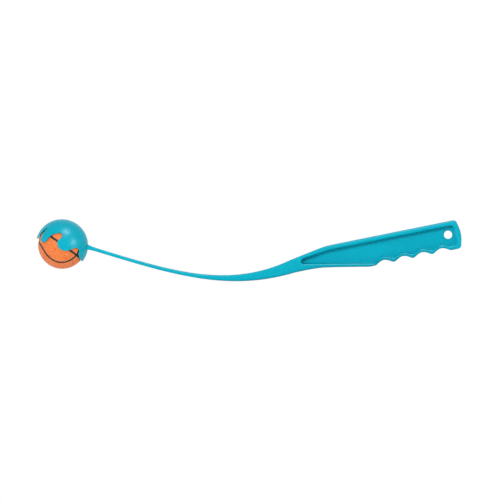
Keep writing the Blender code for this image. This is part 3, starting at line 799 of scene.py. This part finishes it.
def cup_skin():
    """The cup's inner face, each face marked for the piece it belongs to, and each finger's root plane."""
    bm = bmesh.new()
    rim, owners = [], []
    for name, stretch in cup_edges():
        rim += stretch[:-1]
        owners += [name] * (len(stretch) - 1)
    inner = inset(rim)
    edge = list(inner)
    spans = {name: (owners.index(name), owners.index(name) + owners.count(name)) for name in FINGERS}
    for start, end in spans.values():
        edge[start:end + 1] = slerped(inner[start], inner[end], end - start)
    loop = grow_crown(bm, edge)
    roots = {}
    outline = list(loop)
    for slot_number, name in enumerate(FINGERS, 1):
        start, end = spans[name]
        root = loop[start:end + 1]
        square = (root[0].co - CUP_CENTRE).cross(root[-1].co - CUP_CENTRE).normalized()
        square *= 1 if square.dot(MOUTH) > 0 else -1
        roots[name] = (root[len(root) // 2].co.copy(), square)
        outline[start:end + 1] = grow_finger(bm, root, inner[start:end + 1], slot_number)
    _, strip = grown(bm, outline, [in_cup(way) for way in rim])
    strip = set(strip)
    for i, owner in enumerate(owners):
        beside = bm.edges.get((outline[i], outline[(i + 1) % len(outline)]))
        for face in beside.link_faces:
            if face in strip and owner:
                face.material_index = FINGERS.index(owner) + 1
    bmesh.ops.recalc_face_normals(bm, faces=bm.faces)
    if sum(face.normal.dot(face.calc_center_median() - CUP_CENTRE) for face in bm.faces) < 0:
        bmesh.ops.reverse_faces(bm, faces=bm.faces)
    return bm, roots


def spans_wall(face):
    """Whether a face joins the cup's inner side to its outer one."""
    reach = [(vert.co - CUP_CENTRE).length for vert in face.verts]
    return max(reach) - min(reach) > sizes().cup_wall / 2


class THROWER_OT_cup(bpy.types.Operator):
    """Draws the cup with its rounded rim, and parts the crown from the five fingers that spring on it"""
    bl_idname = "thrower.cup"
    bl_label = "Cup and fingers"

    def execute(self, context):
        bm, roots = cup_skin()
        wall_thickness, rounding = sizes().cup_wall, sizes().rim_round

        def modify(obj):
            wall = obj.modifiers.new("wall", "SOLIDIFY")
            wall.thickness, wall.offset = wall_thickness, 1.0
            for _ in range(len(FINGERS) + 1):
                obj.data.materials.append(moulded_polypropylene())

        whole = bmesh.new()
        whole.from_mesh(evaluated(shaded(bm), modify))
        # The rounding goes on both edges of the narrow faces that close the wall.
        rim = {face for face in whole.faces if spans_wall(face)}
        edges = [edge for face in rim for edge in face.edges if sum(f in rim for f in edge.link_faces) == 1]
        bmesh.ops.bevel(whole, geom=edges, offset=rounding, segments=3, profile=0.5, affect="EDGES",
                        clamp_overlap=False, material=-1)
        # Normals are kept from the whole cup, so that no line shows where its pieces part.
        whole.normal_update()
        kept = whole.verts.layers.float_vector.new("kept_normal")
        for vert in whole.verts:
            out = vert.co - CUP_CENTRE
            reach = out.length
            if abs(reach - CUP_INSIDE) < 0.02 * MM:
                vert[kept] = -out.normalized()
            elif abs(reach - CUP_INSIDE - wall_thickness) < 0.02 * MM:
                vert[kept] = out.normalized()
            else:
                vert[kept] = vert.normal
        for slot_number, name in enumerate(("crown",) + FINGERS):
            piece = whole.copy()
            other = [face for face in piece.faces if face.material_index != slot_number]
            bmesh.ops.delete(piece, geom=other, context="FACES")
            layer = piece.verts.layers.float_vector["kept_normal"]
            normals = [GRIP_FRAME.to_3x3() @ vert[layer] for vert in piece.verts]
            for face in piece.faces:
                face.material_index = 0
                face.smooth = True
            part = bpy.data.meshes.new(name)
            piece.to_mesh(part)
            piece.free()
            part.attributes.remove(part.attributes["kept_normal"])
            obj = placed(part, name if name == "crown" else name + "_skin")
            part.normals_split_custom_set_from_vertices(normals)
            part.materials.append(moulded_polypropylene())
            if name == "crown":
                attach(obj, "cup")
                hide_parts("cup_crown")
            else:
                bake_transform(obj)
                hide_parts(name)
        whole.free()
        return {"FINISHED"}


def to_loop_seam(way, axis, across):
    """Angle from a direction on the ball to the curved seam round an axis."""
    off = math.acos(max(min(way.dot(axis), 1.0), -1.0))
    turn = math.atan2(way.dot(across), way.dot(axis.cross(across)))
    middle, twice, four = (math.radians(a) for a in LOOP_SWING_DEG)
    swing = middle + twice * math.cos(2 * turn) + four * math.cos(4 * turn)
    slope = (2 * twice * math.sin(2 * turn) + 4 * four * math.sin(4 * turn)) / max(math.sin(off), 0.2)
    return abs(off - swing) / math.sqrt(1 + slope ** 2)


def seen_side(way):
    """A direction mirrored to the side that is seen, rounded where the two sides meet."""
    off = abs(way.y)
    if off < LOOP_TURN:
        off = (off ** 2 / LOOP_TURN + LOOP_TURN) / 2
    return Vector((way.x, -off, way.z)).normalized()


def outwards(turn_deg, tilt_deg):
    """A direction turned from the photograph's right and tilted off the way out of it."""
    turn, tilt = math.radians(turn_deg), math.radians(tilt_deg)
    right, up = photo_axes()
    level = right * math.cos(turn) + up * math.sin(turn)
    return GRIP_FRAME.to_3x3().inverted() @ (level * math.sin(tilt) + ACROSS * math.cos(tilt))


class THROWER_OT_ball(bpy.types.Operator):
    """Draws the ball, sinks its seams and opens its air hole"""
    bl_idname = "thrower.ball"
    bl_label = "Ball"

    def execute(self, context):
        radius = sizes().ball_diameter / 2
        half, depth = sizes().seam_width / 2, sizes().seam_depth
        straight = outwards(STRAIGHT_SEAM_DEG + 90, 90)
        axis = outwards(*LOOP_AXIS_DEG)
        across = axis.cross(outwards(LOOP_AXIS_DEG[0], 90)).normalized()
        hole = outwards(*AIR_HOLE_DEG)
        bm = bmesh.new()
        bmesh.ops.create_icosphere(bm, subdivisions=7, radius=radius)
        layer = bm.verts.layers.float.new("seam_distance")
        for vert in bm.verts:
            way = vert.co.normalized()
            gap = radius * min(abs(way.dot(straight)), to_loop_seam(seen_side(way), axis, across))
            to_hole = radius * way.angle(hole)
            sink = depth * math.exp(-(gap / half) ** 2)
            sink += AIR_HOLE_DEPTH * math.exp(-(to_hole / AIR_HOLE_RADIUS) ** 4)
            vert[layer] = gap
            vert.co = way * (radius - sink) + BALL_CENTRE
        mesh = bpy.data.meshes.new("play_ball")
        shaded(bm).to_mesh(mesh)
        bm.free()
        obj = placed(mesh, "play_ball")
        mesh.materials.append(moulded_rubber())
        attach(obj, "ball")
        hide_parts("ball")
        return {"FINISHED"}


def softbox(name, target, way, reach, size, watts):
    """A round lamp off a target, in a direction given to the photograph's right, up and out of it."""
    right, up = photo_axes()
    place = target + (right * way[0] + up * way[1] + ACROSS * way[2]).normalized() * reach
    data = bpy.data.lights.new(name, "AREA")
    data.shape = "DISK"
    data.size = size
    data.energy = watts
    obj = bpy.data.objects.new(name, data)
    bpy.context.scene.collection.objects.link(obj)
    obj.location = place
    obj.rotation_euler = (target - place).to_track_quat("-Z", "Y").to_euler()
    return obj


class THROWER_OT_studio(bpy.types.Operator):
    """Lays the floor, hangs the lights and sets the camera square to the thrower's side"""
    bl_idname = "thrower.studio"
    bl_label = "Studio"

    def execute(self, context):
        scene = context.scene
        scene.view_settings.view_transform = "Standard"
        bm = bmesh.new()
        bmesh.ops.create_grid(bm, x_segments=1, y_segments=1, size=FLOOR_REACH)
        mesh = bpy.data.meshes.new("studio_floor")
        bm.to_mesh(mesh)
        bm.free()
        floor = bpy.data.objects.new("studio_floor", mesh)
        scene.collection.objects.link(floor)
        mesh.materials.append(painted_board())

        world = bpy.data.worlds.new("studio_air")
        scene.world = world
        world.use_nodes = True
        tree = world.node_tree
        tree.nodes.clear()
        air = add(tree, "ShaderNodeBackground", {"Color": (1, 1, 1, 1), "Strength": AIR_LIGHT})
        backdrop = add(tree, "ShaderNodeBackground", {"Color": (1, 1, 1, 1), "Strength": BACKDROP_LIGHT})
        mixed = add(tree, "ShaderNodeMixShader", {
            0: backdrop_seen(tree), 1: air.outputs[0], 2: backdrop.outputs[0]})
        add(tree, "ShaderNodeOutputWorld", {"Surface": mixed.outputs[0]})

        cup = GRIP_FRAME @ CUP_CENTRE
        middle = GRIP_FRAME @ PHOTO_MIDDLE
        for name, way, watts in FILLS:
            fill = softbox(name, middle, way, FILL_REACH, FILL_SIZE, watts)
            fill.visible_glossy = False
        cup_pieces = bpy.data.collections.new("cup_pieces")
        for piece in [obj for obj in scene.objects if obj.name == "crown" or obj.name.endswith("_skin")]:
            cup_pieces.objects.link(piece)
        for name, way, size, watts, cup_only in GLINTS:
            glint = softbox(name, cup, way, GLINT_REACH, size, watts)
            glint.visible_diffuse = False
            glint.visible_camera = False
            # Seen from behind, the flat of the shaft would mirror the low lamp and turn white.
            if cup_only:
                glint.light_linking.receiver_collection = cup_pieces

        data = bpy.data.cameras.new("photo_camera")
        data.type = "ORTHO"
        data.ortho_scale = PHOTO_WIDTH
        data.clip_start = 0.01
        data.clip_end = 20
        camera = bpy.data.objects.new("photo_camera", data)
        scene.collection.objects.link(camera)
        turned = Matrix((*photo_axes(), ACROSS)).transposed().to_4x4()
        camera.matrix_world = Matrix.Translation(middle + ACROSS * CAMERA_REACH) @ turned
        scene.camera = camera
        return {"FINISHED"}


class THROWER_PT_panel(bpy.types.Panel):
    """Lists the thrower's pieces, sizes and colours"""
    bl_idname = "THROWER_PT_panel"
    bl_label = "Ball thrower"
    bl_space_type = "VIEW_3D"
    bl_region_type = "UI"
    bl_category = "Ball thrower"

    def draw(self, context):
        layout = self.layout
        for operator in OPERATORS:
            layout.operator(operator.bl_idname)
        for group in (context.scene.thrower_sizes, context.scene.thrower_colours):
            box = layout.box()
            for name in group.__annotations__:
                box.prop(group, name)


OPERATORS = (THROWER_OT_grip, THROWER_OT_shaft, THROWER_OT_cup, THROWER_OT_ball, THROWER_OT_studio)
CLASSES = (ThrowerSizes, ThrowerColours, *OPERATORS, THROWER_PT_panel)


def register():
    for cls in CLASSES:
        bpy.utils.register_class(cls)
    bpy.types.Scene.thrower_sizes = PointerProperty(type=ThrowerSizes)
    bpy.types.Scene.thrower_colours = PointerProperty(type=ThrowerColours)


def unregister():
    del bpy.types.Scene.thrower_colours
    del bpy.types.Scene.thrower_sizes
    for cls in reversed(CLASSES):
        bpy.utils.unregister_class(cls)


def main():
    register()
    bpy.ops.thrower.grip()
    bpy.ops.thrower.shaft()
    bpy.ops.thrower.cup()
    bpy.ops.thrower.ball()
    bpy.ops.thrower.studio()
    bpy.context.view_layer.update()


if __name__ == "__main__":
    main()
